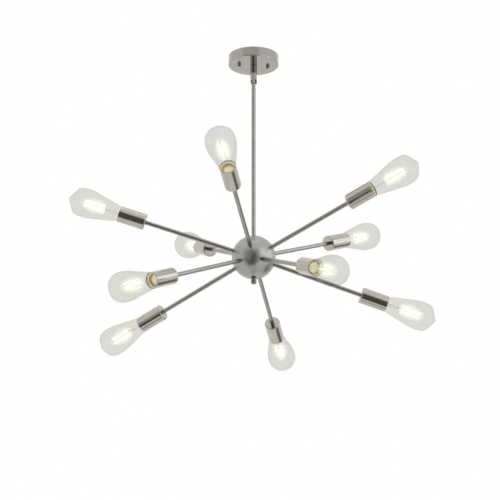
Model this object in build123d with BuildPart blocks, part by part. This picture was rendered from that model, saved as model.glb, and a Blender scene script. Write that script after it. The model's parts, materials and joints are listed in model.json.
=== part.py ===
from build123d import *
from math import cos, hypot, radians, sin, sqrt
import os

# Ball chandelier for ten screw-base bulbs, hung from a ceiling outlet box on a swivelling rod.
# Millimetres, +Z up. The origin is the middle of the ceiling face, with +X along the crossbar.
# A heading is a compass angle seen from above: 0 is -Y, and it grows towards +X.

# Fits: the first four are measured on the radius, the last is free depth past a thread's end
thread_clearance = 0.05
running_clearance = 0.05
hole_clearance = 0.15
swivel_side_gap = 0.2
thread_end_gap = 0.5

# Crossbar, which the outlet box's two screws hold
box_screw_spacing = 88.9
box_slot_length = 10.0
box_slot_width = 4.5
crossbar_width = 20.0
crossbar_thickness = 2.5
crossbar_corner_radius = 4.0
crossbar_end_margin = 1.5
crossbar_wire_hole = 14.0
ground_screw_offset = 18.0
ground_screw_diameter = 4.0
ground_head_diameter = 7.5
ground_head_height = 2.4

# Studs on the crossbar, which carry the canopy
stud_inset = 7.0
stud_diameter = 4.0
stud_nut_flats = 7.0
stud_nut_height = 2.4
cap_nut_diameter = 8.5
cap_nut_height = 8.0
cap_nut_dome_radius = 3.2
cap_nut_thread_depth = 5.5

# Canopy
canopy_cover_gap = 4.0
canopy_wall = 1.2
canopy_height = 22.0
canopy_edge_radius = 2.0

# Swivel: a hollow nipple in the canopy, a sleeve that turns on it, and a knuckle on a cross pin
wire_bore = 5.0
nipple_thread_diameter = 8.0
nipple_neck_diameter = 9.6
nipple_flange_height = 2.5
nipple_thread_spare = 3.0
canopy_nut_flats = 13.0
canopy_nut_height = 5.0
sleeve_diameter = 14.6
sleeve_length = 44.0
sleeve_wall = 0.9
sleeve_cap_height = 3.0
sleeve_top_gap = 0.3
sleeve_bearing_gap = 0.1
sleeve_edge_radius = 0.8
fork_wall = 2.8
fork_height = 14.0
fork_slot_gap = 0.5
pin_diameter = 4.0
pin_rise = 4.3
pin_proud = 0.4
pin_heading = -47.5
tongue_thickness = 5.0
tongue_width = 8.0
knuckle_shank_length = 14.0
tilt_limit = 30.0
tilt_gap = 0.4

# Down rod and ball hub
hub_drop = 475.5
rod_diameter = 9.5
rod_wall = 1.0
collar_diameter = 11.5
collar_height = 1.5
collar_edge_radius = 0.4
ball_diameter = 96.0
ball_wall = 1.2
hub_lip_rise = 2.0
hub_lip_depth = 4.5
hub_lip_wall = 1.0
hub_lip_clearance = 0.1
stem_in_rod = 20.0
stem_window_width = 3.0
stem_window_length = 30.0

# Finial, which clamps the hub's two shells on the stem
finial_neck_diameter = 12.0
finial_neck_height = 4.5
finial_groove_diameter = 9.5
finial_groove_height = 1.2
finial_knob_diameter = 12.5
finial_knob_height = 7.3
finial_knob_top_radius = 1.5
finial_knob_foot_radius = 4.5
finial_thread_depth = 8.0

# Arms: an upper ring and a lower ring opposite it, each arm with its own angle from the level
arm_heading = -20.0
upper_elevations = (20.0, 21.0, 19.5, 20.0, 16.5)
lower_elevations = (20.5, 22.0, 21.0, 19.5, 18.0)
arm_reach = 247.5
arm_diameter = 9.5
spigot_diameter = 7.0
spigot_spare = 1.5
arm_nut_flats = 11.0
arm_nut_height = 3.5
nut_chamfer = 0.4

# Socket cups and the lampholders inside them
cup_length = 61.0
cup_wall = 1.2
cup_back_radius = 3.0
lampholder_gap = 0.9
lampholder_wall = 1.8
lampholder_cover = 21.0
contact_sheet = 0.4
contact_shell_rise = 4.0
contact_shell_setback = 1.0
contact_tab_diameter = 8.0
contact_tab_height = 2.0
contact_gap = 0.2

# Bulbs: a screw cap, a pear-shaped envelope with a long cone and a blunt tip, and a glass stem with
# filament sticks
bulb_length = 145.0
bulb_cap_diameter = 26.1
bulb_cap_height = 26.5
bulb_cap_wall = 1.4
bulb_cap_clearance = 0.35
bulb_thread_pitch = 3.63
bulb_thread_rings = 4
bulb_thread_start = 9.5
bulb_thread_groove_radius = 1.15
bulb_thread_depth = 0.75
bulb_button_diameter = 9.2
bulb_button_height = 1.4
insulator_height = 5.1
insulator_foot_diameter = 10.0
insulator_edge = 0.6
glass_wall = 0.9
glass_neck_in_cap = 5.5
bulb_neck_in_cup = 5.0
bulb_belly_diameter = 64.0
bulb_belly_from_tip = 37.0
bulb_flare_out = 1.5
bulb_flare_up = 3.5
bulb_flare_ease = 10.0
bulb_cone_foot_diameter = 40.0
bulb_cone_foot_rise = 15.5
bulb_cone_top_inset = 1.6
bulb_cone_top_drop = 17.0
bulb_belly_ease = 5.5
bulb_dome_ease = 14.0
bulb_nose_inset = 8.0
bulb_nose_ease = 5.0
bulb_nose_half_angle = 60.0
bulb_tip_radius = 3.0
stem_flare_height = 2.0
stem_cone_height = 11.0
stem_diameter = 6.0
stem_height = 31.5
filament_wire = 1.2
filament_diameter = 2.0
filament_rise = 4.0
filament_length = 50.0
filament_foot_radius = 9.0
filament_top_radius = 6.0
filament_count = 4

# Widths that follow from the sizes above
crossbar_length = box_screw_spacing + box_slot_length + 2 * crossbar_end_margin
crossbar_reach = crossbar_corner_radius + hypot(
    crossbar_length / 2 - crossbar_corner_radius, crossbar_width / 2 - crossbar_corner_radius
)
canopy_radius = crossbar_reach + canopy_cover_gap + canopy_wall
stud_offset = box_screw_spacing / 2 - box_slot_length / 2 - stud_inset
sleeve_bore = sleeve_diameter - 2 * sleeve_wall
fork_bore = sleeve_diameter - 2 * fork_wall
fork_slot_width = tongue_thickness + 2 * swivel_side_gap
rod_bore = rod_diameter - 2 * rod_wall
ball_radius = ball_diameter / 2
ball_inner_radius = ball_radius - ball_wall
stem_radius = rod_bore / 2 - thread_clearance
stem_hole_radius = stem_radius + hole_clearance
spigot_hole_radius = spigot_diameter / 2 + hole_clearance
hub_lip_radius = sqrt(ball_inner_radius**2 - hub_lip_rise**2) - hub_lip_clearance
bulb_cap_radius = bulb_cap_diameter / 2
contact_shell_radius = bulb_cap_radius + bulb_cap_clearance + contact_sheet
lampholder_bore_radius = contact_shell_radius + thread_clearance
lampholder_radius = lampholder_bore_radius + lampholder_wall
cup_radius = lampholder_radius + lampholder_gap + cup_wall
glass_neck_radius = bulb_cap_radius - bulb_cap_wall - hole_clearance
stem_flare_radius = glass_neck_radius - glass_wall - thread_clearance

# Heights below the ceiling
canopy_face = -canopy_height
sleeve_top = canopy_face - sleeve_top_gap
sleeve_chamber_top = sleeve_top - sleeve_cap_height
nipple_flange_top = sleeve_chamber_top - sleeve_bearing_gap
sleeve_end = sleeve_top - sleeve_length
pin_level = sleeve_end + pin_rise
rod_swing = rod_diameter / 2 * sin(radians(tilt_limit))
rod_top = pin_level - (pin_rise + tilt_gap + rod_swing) / cos(radians(tilt_limit))

# Distances from the hub's centre, up the stem or out along an arm
stem_seat = sqrt(ball_radius**2 - stem_hole_radius**2)
rod_foot = -hub_drop + stem_seat + collar_height
arm_seat = sqrt(ball_radius**2 - spigot_hole_radius**2)
arm_nut_seat = sqrt(ball_inner_radius**2 - (arm_nut_flats / sqrt(3)) ** 2)
cup_floor = arm_reach + cup_wall
lampholder_foot = cup_floor + arm_nut_height
cup_rim = arm_reach + cup_length
bulb_seat = cup_rim - bulb_neck_in_cup - bulb_cap_height
lampholder_floor = bulb_seat - contact_gap - contact_tab_height
lampholder_mouth = bulb_seat + lampholder_cover
bulb_cap_foot = bulb_seat + bulb_button_height + insulator_height
bulb_cap_top = bulb_seat + bulb_cap_height
glass_foot = bulb_cap_top - glass_neck_in_cap
bulb_tip = bulb_seat + bulb_length
stem_top = bulb_cap_top + stem_height
filament_foot = stem_top + filament_rise
filament_top = filament_foot + filament_length

# Frames
hub_plane = Plane.XY.offset(-hub_drop)
pin_direction = Vector(sin(radians(pin_heading)), -cos(radians(pin_heading)), 0)
pin_across = Vector(cos(radians(pin_heading)), sin(radians(pin_heading)), 0)
pin_plane = Plane(origin=(0, 0, pin_level), x_dir=pin_across, z_dir=pin_direction)
stud_points = [(-stud_offset, 0, 0), (stud_offset, 0, 0)]
stand_up = (Align.CENTER, Align.CENTER, Align.MIN)
hang_down = (Align.CENTER, Align.CENTER, Align.MAX)


def arm_frame(heading, elevation):
    """A plane at the hub's centre whose normal points out along an arm."""
    level = cos(radians(elevation))
    outward = Vector(
        sin(radians(heading)) * level, -cos(radians(heading)) * level, sin(radians(elevation))
    )
    across = Vector(cos(radians(heading)), sin(radians(heading)), 0)
    return Plane(origin=(0, 0, -hub_drop), x_dir=across, z_dir=outward)


full_turn = 360
ring_step = full_turn / len(upper_elevations)
ring_headings = [arm_heading + ring_step * i for i in range(len(upper_elevations))]
upper_frames = [arm_frame(h, e) for h, e in zip(ring_headings, upper_elevations)]
lower_frames = [arm_frame(h + full_turn / 2, -e) for h, e in zip(ring_headings, lower_elevations)]
arm_frames = upper_frames + lower_frames


def write(piece, name):
    """Label a finished piece and write it as its own node."""
    piece.label = name
    export_step(piece, f"parts/{name}.step")


def placed(piece, *frames):
    """Copies of a piece, one in each frame."""
    with BuildPart() as copies:
        with Locations(*frames):
            add(piece)
    return copies.part


def hex_nut(flats, bore_diameter, height):
    """A hexagon nut that stands on the XY plane, chamfered on both faces."""
    with BuildPart() as nut:
        with BuildSketch():
            RegularPolygon(flats / 2, 6, major_radius=False)
        extrude(amount=height)
        chamfer(nut.faces().filter_by(Axis.Z).edges(), length=nut_chamfer)
        Hole(bore_diameter / 2 + thread_clearance)
    return nut.part


os.makedirs("parts", exist_ok=True)

# Crossbar: a flat strip across the outlet box, with two slots for the box screws
with BuildPart() as crossbar:
    with BuildSketch():
        RectangleRounded(crossbar_length, crossbar_width, crossbar_corner_radius)
        with GridLocations(box_screw_spacing, 0, 2, 1):
            SlotOverall(box_slot_length, box_slot_width, mode=Mode.SUBTRACT)
        with Locations(*stud_points):
            Circle(stud_diameter / 2 + thread_clearance, mode=Mode.SUBTRACT)
        with Locations((-ground_screw_offset, 0)):
            Circle(ground_screw_diameter / 2 + thread_clearance, mode=Mode.SUBTRACT)
        Circle(crossbar_wire_hole / 2, mode=Mode.SUBTRACT)
    extrude(amount=-crossbar_thickness)
write(crossbar.part, "crossbar")

# Grounding screw: a pan head under the crossbar
with BuildPart() as ground_screw:
    with Locations((-ground_screw_offset, 0, 0)):
        Cylinder(ground_screw_diameter / 2, crossbar_thickness, align=hang_down)
    with Locations((-ground_screw_offset, 0, -crossbar_thickness)):
        Cylinder(ground_head_diameter / 2, ground_head_height, align=hang_down)
    fillet(ground_screw.edges().sort_by(Axis.Z)[0], radius=ground_head_height / 2)
write(ground_screw.part, "ground_screw")

# Studs from the crossbar down through the canopy, with a jam nut and a cap nut on each
with BuildPart() as canopy_studs:
    with Locations(*stud_points):
        Cylinder(stud_diameter / 2, canopy_height + cap_nut_thread_depth, align=hang_down)
write(canopy_studs.part, "canopy_studs")

stud_nut_planes = [Plane((x, y, -crossbar_thickness - stud_nut_height)) for x, y, z in stud_points]
stud_nuts = placed(hex_nut(stud_nut_flats, stud_diameter, stud_nut_height), *stud_nut_planes)
write(stud_nuts, "stud_nuts")

with BuildPart() as cap_nuts:
    with Locations(*[(x, y, canopy_face) for x, y, z in stud_points]):
        Cylinder(cap_nut_diameter / 2, cap_nut_height, align=hang_down)
    fillet(cap_nuts.edges().group_by(Axis.Z)[0], radius=cap_nut_dome_radius)
    with Locations(*[(x, y, canopy_face) for x, y, z in stud_points]):
        Cylinder(
            stud_diameter / 2 + thread_clearance,
            cap_nut_thread_depth + thread_end_gap,
            align=hang_down,
            mode=Mode.SUBTRACT,
        )
write(cap_nuts.part, "cap_nuts")

# Canopy: a spun dish, open upwards
with BuildPart() as canopy:
    Cylinder(canopy_radius, canopy_height, align=hang_down)
    fillet(canopy.edges().sort_by(Axis.Z)[0], radius=canopy_edge_radius)
    offset(amount=-canopy_wall, openings=canopy.faces().sort_by(Axis.Z)[-1])
    with Locations(*stud_points):
        Hole(stud_diameter / 2 + hole_clearance)
    Hole(nipple_thread_diameter / 2 + hole_clearance)
write(canopy.part, "canopy")

# Swivel nipple: thread and nut above the canopy, running neck and flange inside the sleeve
with BuildPart() as swivel_nipple:
    with Locations((0, 0, canopy_face)):
        Cylinder(
            nipple_thread_diameter / 2,
            canopy_wall + canopy_nut_height + nipple_thread_spare,
            align=stand_up,
        )
        Cylinder(nipple_neck_diameter / 2, canopy_face - nipple_flange_top, align=hang_down)
    with Locations((0, 0, nipple_flange_top)):
        Cylinder(sleeve_bore / 2 - swivel_side_gap, nipple_flange_height, align=hang_down)
    with Locations((0, 0, canopy_face)):
        Hole(wire_bore / 2)
write(swivel_nipple.part, "swivel_nipple")

canopy_nut = placed(
    hex_nut(canopy_nut_flats, nipple_thread_diameter, canopy_nut_height),
    Plane((0, 0, canopy_face + canopy_wall)),
)
write(canopy_nut, "canopy_nut")

# Swivel sleeve: a capped tube whose lower end is a fork for the knuckle
with BuildPart() as swivel_sleeve:
    with Locations((0, 0, sleeve_top)):
        Cylinder(sleeve_diameter / 2, sleeve_length, align=hang_down)
    fillet(swivel_sleeve.edges().group_by(Axis.Z)[0], radius=sleeve_edge_radius)
    with Locations((0, 0, sleeve_top)):
        Cylinder(
            nipple_neck_diameter / 2 + running_clearance,
            sleeve_cap_height,
            align=hang_down,
            mode=Mode.SUBTRACT,
        )
    with Locations((0, 0, sleeve_chamber_top)):
        Cylinder(
            sleeve_bore / 2,
            sleeve_length - sleeve_cap_height - fork_height,
            align=hang_down,
            mode=Mode.SUBTRACT,
        )
        Cylinder(
            fork_bore / 2, sleeve_length - sleeve_cap_height, align=hang_down, mode=Mode.SUBTRACT
        )
    with BuildSketch(pin_plane):
        with Locations((0, tongue_width / 2 + fork_slot_gap)):
            Rectangle(
                2 * sleeve_diameter,
                pin_rise + tongue_width + fork_slot_gap,
                align=(Align.CENTER, Align.MAX),
            )
    extrude(amount=fork_slot_width / 2, both=True, mode=Mode.SUBTRACT)
    with Locations(pin_plane):
        Hole(pin_diameter / 2 + thread_clearance)
write(swivel_sleeve.part, "swivel_sleeve")

# Cross pin, fixed in the fork
with BuildPart() as swivel_pin:
    with Locations(pin_plane):
        Cylinder(pin_diameter / 2, sleeve_diameter + 2 * pin_proud)
    fillet(swivel_pin.edges().filter_by(GeomType.CIRCLE), radius=pin_proud)
write(swivel_pin.part, "swivel_pin")

# Knuckle: a tongue on the pin and a flatted shank in the rod, with wire ways beside the flats
with BuildPart() as swivel_knuckle:
    with BuildSketch(pin_plane):
        Circle(tongue_width / 2)
        Rectangle(tongue_width, pin_level - rod_top, align=(Align.CENTER, Align.MAX))
    extrude(amount=tongue_thickness / 2, both=True)
    with BuildSketch(Plane(origin=(0, 0, rod_top), x_dir=pin_direction, z_dir=(0, 0, 1))):
        Circle(stem_radius)
        Rectangle(tongue_thickness, rod_diameter, mode=Mode.INTERSECT)
    extrude(amount=-knuckle_shank_length)
    with Locations(pin_plane):
        Hole(pin_diameter / 2 + running_clearance)
write(swivel_knuckle.part, "swivel_knuckle")

# Down rod: a tube from the knuckle to the hub
with BuildPart() as down_rod:
    with BuildSketch(Plane.XY.offset(rod_foot)):
        Circle(rod_diameter / 2)
        Circle(rod_bore / 2, mode=Mode.SUBTRACT)
    extrude(amount=rod_top - rod_foot)
write(down_rod.part, "down_rod")

# Collar: a thin ring between the rod and the ball
with BuildPart() as rod_collar:
    with BuildSketch(hub_plane.offset(stem_seat)):
        Circle(collar_diameter / 2)
    extrude(amount=collar_height)
    fillet(rod_collar.edges().filter_by(GeomType.CIRCLE), radius=collar_edge_radius)
    with Locations(hub_plane.offset(stem_seat)):
        Hole(stem_hole_radius)
write(rod_collar.part, "rod_collar")

# Hub: two spun half shells, the lower one with a lip inside the upper one
with BuildPart() as hub_upper_shell:
    with Locations(hub_plane):
        Sphere(ball_radius)
        Sphere(ball_inner_radius, mode=Mode.SUBTRACT)
    split(bisect_by=hub_plane, keep=Keep.TOP)
    with Locations(hub_plane):
        Hole(stem_hole_radius)
    with Locations(*upper_frames):
        Hole(spigot_hole_radius)
write(hub_upper_shell.part, "hub_upper_shell")

with BuildPart() as hub_lower_shell:
    with Locations(hub_plane):
        Sphere(ball_radius)
        Sphere(ball_inner_radius, mode=Mode.SUBTRACT)
    split(bisect_by=hub_plane, keep=Keep.BOTTOM)
    with BuildSketch(hub_plane.offset(-hub_lip_depth)):
        Circle(hub_lip_radius)
        Circle(hub_lip_radius - hub_lip_wall, mode=Mode.SUBTRACT)
    extrude(amount=hub_lip_depth + hub_lip_rise)
    with Locations(hub_plane):
        Hole(stem_hole_radius)
    with Locations(*lower_frames):
        Hole(spigot_hole_radius)
write(hub_lower_shell.part, "hub_lower_shell")

# Hub stem: a threaded tube from the rod to the finial, with a cross window for the wires
stem_foot = stem_seat + finial_thread_depth - thread_end_gap
with BuildPart() as hub_stem:
    with BuildSketch(hub_plane.offset(-stem_foot)):
        Circle(stem_radius)
    extrude(amount=stem_foot + stem_seat + collar_height + stem_in_rod)
    with BuildSketch(hub_plane.offset(-stem_window_length / 2)):
        Circle(wire_bore / 2)
    extrude(amount=stem_foot + stem_seat + collar_height + stem_in_rod, mode=Mode.SUBTRACT)
    with BuildSketch(Plane(origin=(0, 0, -hub_drop), x_dir=(1, 0, 0), z_dir=(0, -1, 0))):
        SlotOverall(stem_window_length, stem_window_width, rotation=90)
    extrude(amount=rod_diameter, both=True, mode=Mode.SUBTRACT)
write(hub_stem.part, "hub_stem")

# Finial: a necked knob with a blind thread
with BuildPart() as finial:
    finial_groove = -stem_seat - finial_neck_height
    finial_knob = finial_groove - finial_groove_height
    with Locations(hub_plane.offset(finial_knob)):
        Cylinder(finial_knob_diameter / 2, finial_knob_height, align=hang_down)
    fillet(finial.edges().group_by(Axis.Z)[-1], radius=finial_knob_top_radius)
    fillet(finial.edges().group_by(Axis.Z)[0], radius=finial_knob_foot_radius)
    with Locations(hub_plane.offset(finial_knob)):
        Cylinder(finial_groove_diameter / 2, finial_groove_height, align=stand_up)
    with Locations(hub_plane.offset(finial_groove)):
        Cylinder(finial_neck_diameter / 2, finial_neck_height, align=stand_up)
    with Locations(hub_plane.offset(-stem_seat)):
        Cylinder(
            stem_radius + thread_clearance,
            finial_thread_depth,
            align=hang_down,
            mode=Mode.SUBTRACT,
        )
write(finial.part, "finial")

# Arm: a tube with a threaded spigot at each end, lying along the frame's normal
with BuildPart() as arm:
    with BuildSketch(Plane.XY.offset(arm_seat)):
        Circle(arm_diameter / 2)
    extrude(amount=arm_reach - arm_seat)
    with BuildSketch(Plane.XY.offset(arm_nut_seat - arm_nut_height - spigot_spare)):
        Circle(spigot_diameter / 2)
    extrude(until=Until.NEXT)
    with BuildSketch(Plane.XY.offset(lampholder_foot + spigot_spare)):
        Circle(spigot_diameter / 2)
    extrude(amount=arm_reach - lampholder_foot - spigot_spare)
    with BuildSketch():
        Circle(wire_bore / 2)
    extrude(amount=lampholder_foot + spigot_spare, mode=Mode.SUBTRACT)

# Socket cup: a deep round cup on the arm's end, open outwards
with BuildPart() as socket_cup:
    with BuildSketch(Plane.XY.offset(arm_reach)):
        Circle(cup_radius)
    extrude(amount=cup_length)
    fillet(socket_cup.edges().group_by(Axis.Z)[0], radius=cup_back_radius)
    offset(amount=-cup_wall, openings=socket_cup.faces().sort_by(Axis.Z)[-1])
    with Locations((0, 0, arm_reach)):
        Hole(spigot_hole_radius)

# Lampholder: a moulded body on the spigot, with a threaded shell and a centre tab for contacts
with BuildPart() as lampholder:
    with BuildSketch(Plane.XY.offset(lampholder_foot)):
        Circle(lampholder_radius)
    extrude(amount=lampholder_mouth - lampholder_foot)
    with BuildSketch(Plane.XY.offset(lampholder_floor)):
        Circle(lampholder_bore_radius)
    extrude(amount=lampholder_mouth - lampholder_floor, mode=Mode.SUBTRACT)
    with BuildSketch(Plane.XY.offset(lampholder_foot)):
        Circle(spigot_diameter / 2 + thread_clearance)
    extrude(amount=spigot_spare + thread_end_gap, mode=Mode.SUBTRACT)

with BuildPart() as lampholder_contact:
    with BuildSketch(Plane.XY.offset(lampholder_floor + contact_shell_rise)):
        Circle(contact_shell_radius)
        Circle(contact_shell_radius - contact_sheet, mode=Mode.SUBTRACT)
    extrude(amount=lampholder_mouth - contact_shell_setback - lampholder_floor - contact_shell_rise)
    with BuildSketch(Plane.XY.offset(lampholder_floor)):
        Circle(contact_tab_diameter / 2)
    extrude(amount=contact_tab_height)

# Bulb cap: a screw shell with round grooves, an insulator under it and a contact button
with BuildPart() as bulb_cap:
    with BuildSketch(Plane.XY.offset(bulb_cap_foot)):
        Circle(bulb_cap_radius)
        Circle(bulb_cap_radius - bulb_cap_wall, mode=Mode.SUBTRACT)
    extrude(amount=bulb_cap_top - bulb_cap_foot)
    with Locations(*[
        (0, 0, bulb_seat + bulb_thread_start + bulb_thread_pitch * i) for i in range(bulb_thread_rings)
    ]):
        Torus(
            bulb_cap_radius + bulb_thread_groove_radius - bulb_thread_depth,
            bulb_thread_groove_radius,
            mode=Mode.SUBTRACT,
        )

with BuildPart() as bulb_insulator:
    with Locations((0, 0, bulb_seat + bulb_button_height)):
        Cone(
            insulator_foot_diameter / 2,
            bulb_cap_radius - insulator_edge,
            insulator_height,
            align=stand_up,
        )

with BuildPart() as bulb_button:
    with Locations((0, 0, bulb_seat)):
        Cylinder(bulb_button_diameter / 2, bulb_button_height, align=stand_up)
    fillet(bulb_button.edges().group_by(Axis.Z)[0], radius=bulb_button_height / 2)


def bulb_form(inset):
    """The bulb's rounded form, drawn in from the outer face by an inset."""
    slope_out = cos(radians(bulb_nose_half_angle))
    slope_up = sin(radians(bulb_nose_half_angle))
    neck = (glass_neck_radius - inset, glass_foot)
    step = (glass_neck_radius - inset, bulb_cap_top + inset)
    flare = (bulb_cap_radius - inset, bulb_cap_top + inset)
    flare_aim = (flare[0] + bulb_flare_out, flare[1] + bulb_flare_up)
    belly = (bulb_belly_diameter / 2 - inset, bulb_tip - bulb_belly_from_tip)
    cone_foot = (bulb_cone_foot_diameter / 2 - inset, bulb_cap_top + bulb_cone_foot_rise)
    cone_top = (belly[0] - bulb_cone_top_inset, belly[1] - bulb_cone_top_drop)
    cone_slope = (cone_top[0] - cone_foot[0]) / (cone_top[1] - cone_foot[1])
    cone_below = (cone_foot[0] - cone_slope * bulb_flare_ease, cone_foot[1] - bulb_flare_ease)
    cone_above = (cone_top[0] + cone_slope * bulb_belly_ease, cone_top[1] + bulb_belly_ease)
    belly_below = (belly[0], belly[1] - bulb_belly_ease)
    belly_above = (belly[0], belly[1] + bulb_dome_ease)
    tip_radius = bulb_tip_radius - inset
    tip = (0, bulb_tip - inset)
    tip_side = (tip_radius * slope_out, bulb_tip - bulb_tip_radius + tip_radius * slope_up)
    nose_run = bulb_belly_diameter / 2 - bulb_nose_inset - bulb_tip_radius * slope_out
    nose = (tip_side[0] + nose_run, tip_side[1] - nose_run * slope_out / slope_up)
    nose_aim = (nose[0] + bulb_nose_ease * slope_up, nose[1] - bulb_nose_ease * slope_out)
    with BuildPart() as form:
        with BuildSketch(Plane.XZ):
            with BuildLine():
                Polyline(tip, (0, glass_foot), neck, step, flare)
                Bezier(flare, flare_aim, cone_below, cone_foot)
                Line(cone_foot, cone_top)
                Bezier(cone_top, cone_above, belly_below, belly)
                Bezier(belly, belly_above, nose_aim, nose)
                Line(nose, tip_side)
                TangentArc(tip_side, tip, tangent=(-slope_up, slope_out))
            make_face()
        revolve(axis=Axis.Z)
    return form.part


# Bulb envelope: thin glass that sits on the cap's rim, open at its neck inside the cap
with BuildPart() as bulb_glass:
    add(bulb_form(0))
    add(bulb_form(glass_wall), mode=Mode.SUBTRACT)

# Glass stem: a flare that closes the neck, and a column that holds the filaments
with BuildPart() as bulb_stem:
    with Locations((0, 0, glass_foot)):
        Cylinder(stem_flare_radius, stem_flare_height, align=stand_up)
        Cylinder(stem_diameter / 2, stem_top - glass_foot, align=stand_up)
    with Locations((0, 0, glass_foot + stem_flare_height)):
        Cone(stem_flare_radius, stem_diameter / 2, stem_cone_height, align=stand_up)

# Filaments: splayed sticks between two wire spiders on a centre wire
with BuildPart() as bulb_filament:
    with BuildSketch(Plane.XY.offset(stem_top)):
        Circle(filament_wire / 2)
    extrude(amount=filament_top - stem_top)
    for level, spread in ((filament_foot, filament_foot_radius), (filament_top, filament_top_radius)):
        with BuildSketch(Plane.XY.offset(level)):
            with PolarLocations(0, filament_count):
                Rectangle(spread, filament_wire, align=(Align.MIN, Align.CENTER))
        extrude(amount=-filament_wire)
    for i in range(filament_count):
        turn = radians(360 / filament_count * i)
        foot = Vector(cos(turn), sin(turn), 0) * filament_foot_radius + Vector(0, 0, filament_foot)
        head = Vector(cos(turn), sin(turn), 0) * filament_top_radius + Vector(0, 0, filament_top)
        with BuildSketch(Plane(origin=foot, z_dir=head - foot)):
            Circle(filament_diameter / 2)
        extrude(amount=(head - foot).length)

# Arm nuts: one inside the hub and one inside the cup on every arm
arm_nut = hex_nut(arm_nut_flats, spigot_diameter, arm_nut_height)
with BuildPart() as arm_nut_pair:
    with Locations((0, 0, arm_nut_seat - arm_nut_height), (0, 0, cup_floor)):
        add(arm_nut)
write(placed(arm_nut_pair.part, *arm_frames), "arm_nuts")
write(placed(lampholder.part, *arm_frames), "lampholders")
write(placed(lampholder_contact.part, *arm_frames), "lampholder_contacts")

# One arm, cup and bulb in each frame
bulb_base = [bulb_cap, bulb_insulator, bulb_button, bulb_stem, bulb_filament]
for number, frame in enumerate(arm_frames, start=1):
    write(placed(arm.part, frame), f"arm_{number}")
    write(placed(socket_cup.part, frame), f"socket_cup_{number}")
    write(placed(bulb_glass.part, frame), f"bulb_glass_{number}")
    base = Compound(children=[placed(piece.part, frame) for piece in bulb_base])
    write(base, f"bulb_base_{number}")
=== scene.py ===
import json
from math import acos, atan, ceil, cos, degrees, pi, radians, sin, sqrt, tan

import bmesh
import bpy
from mathutils import Matrix, Vector


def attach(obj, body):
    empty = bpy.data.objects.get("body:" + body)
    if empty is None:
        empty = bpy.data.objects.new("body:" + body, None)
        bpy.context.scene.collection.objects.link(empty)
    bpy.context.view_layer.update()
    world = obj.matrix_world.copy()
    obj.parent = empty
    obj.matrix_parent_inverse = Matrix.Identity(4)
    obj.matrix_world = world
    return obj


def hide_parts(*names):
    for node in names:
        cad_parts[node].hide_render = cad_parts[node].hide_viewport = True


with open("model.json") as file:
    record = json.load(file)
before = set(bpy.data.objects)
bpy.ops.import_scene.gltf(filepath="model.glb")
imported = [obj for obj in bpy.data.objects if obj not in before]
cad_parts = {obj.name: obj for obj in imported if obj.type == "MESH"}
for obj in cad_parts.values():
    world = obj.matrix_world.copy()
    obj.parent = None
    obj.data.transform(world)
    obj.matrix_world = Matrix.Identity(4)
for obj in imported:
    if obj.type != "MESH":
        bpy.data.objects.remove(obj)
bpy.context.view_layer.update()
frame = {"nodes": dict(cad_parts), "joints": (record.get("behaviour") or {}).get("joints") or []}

# Ball chandelier with ten arms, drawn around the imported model. Sizes are in millimetres.
MM = 0.001
TINY = 1e-6
scene = bpy.context.scene
scene.view_settings.view_transform = "Standard"
# A look through two bulbs crosses many thin glass walls
scene.cycles.transparent_max_bounces = 48

# Small roundings of edges
fine_edge = 0.1
light_edge = 0.15
small_edge = 0.2
plain_edge = 0.3
wide_edge = 0.5

# Canopy and its two cap nuts
canopy_radius = 56.53
canopy_height = 22.0
canopy_wall = 1.2
canopy_edge_radius = 2.0
canopy_rim_rounding = 0.35
nipple_hole_radius = 4.15
stud_offset = 32.45
stud_bore_radius = 2.05
stud_hole_radius = 2.15
stud_cutter_reach = 2.0
cap_nut_radius = 4.25
cap_nut_height = 8.0
cap_nut_bore = 6.0
cap_nut_dome_radius = 3.2
cap_nut_skirt = 2.5
cap_nut_rim_rounding = 0.25
knurl_teeth = 36
knurl_depth = 0.12
knurl_start = 0.6
knurl_runout = 2.0
knurl_band = 0.4

# Swivel and rod
sleeve_radius = 7.3
sleeve_top = -22.3
sleeve_length = 44.0
sleeve_bore_radius = 6.4
sleeve_cap_height = 3.0
sleeve_edge_radius = 0.8
neck_bore_radius = 4.85
fork_bore_radius = 4.5
fork_height = 14.0
fork_slot_width = 5.4
fork_slot_rise = 4.5
pin_level = -62.0
pin_radius = 2.0
pin_hole_radius = 2.05
pin_length = 15.4
pin_edge_radius = 0.4
pin_heading = -47.5
rod_radius = 4.75
rod_bore_radius = 3.75
rod_top = -70.17

# Ball hub, collar and finial
hub_drop = 475.5
ball_radius = 48.0
ball_inner_radius = 46.8
ball_seam = 0.12
stem_hole_radius = 3.85
lip_rise = 2.0
lip_depth = 4.5
lip_radius = 46.657
lip_wall = 1.0
collar_radius = 5.75
collar_height = 1.5
collar_edge_radius = 0.4
finial_neck_radius = 6.0
finial_neck_height = 4.5
finial_neck_rounding = 0.8
finial_groove_radius = 4.75
finial_groove_height = 1.2
finial_knob_radius = 6.25
finial_knob_height = 7.3
finial_knob_top_radius = 1.1
finial_knob_foot_radius = 4.5
finial_bore_radius = 3.75
finial_bore_depth = 8.0

# Arms and socket cups
arm_reach = 247.5
arm_radius = 4.75
wire_bore_radius = 2.5
spigot_radius = 3.5
spigot_hole_radius = 3.65
spigot_cutter_reach = 8.0
spigot_pitch = 1.0
spigot_thread_depth = 0.35
spigot_undercut = 1.6
spigot_spare = 1.5
arm_nut_flats = 11.0
arm_nut_height = 3.5
cup_radius = 17.75
cup_length = 61.0
cup_wall = 1.2
cup_back_radius = 3.0
cup_rim_rounding = 0.45
liner_gap = 0.1
liner_wall = 0.6
liner_setback = 2.2

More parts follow.
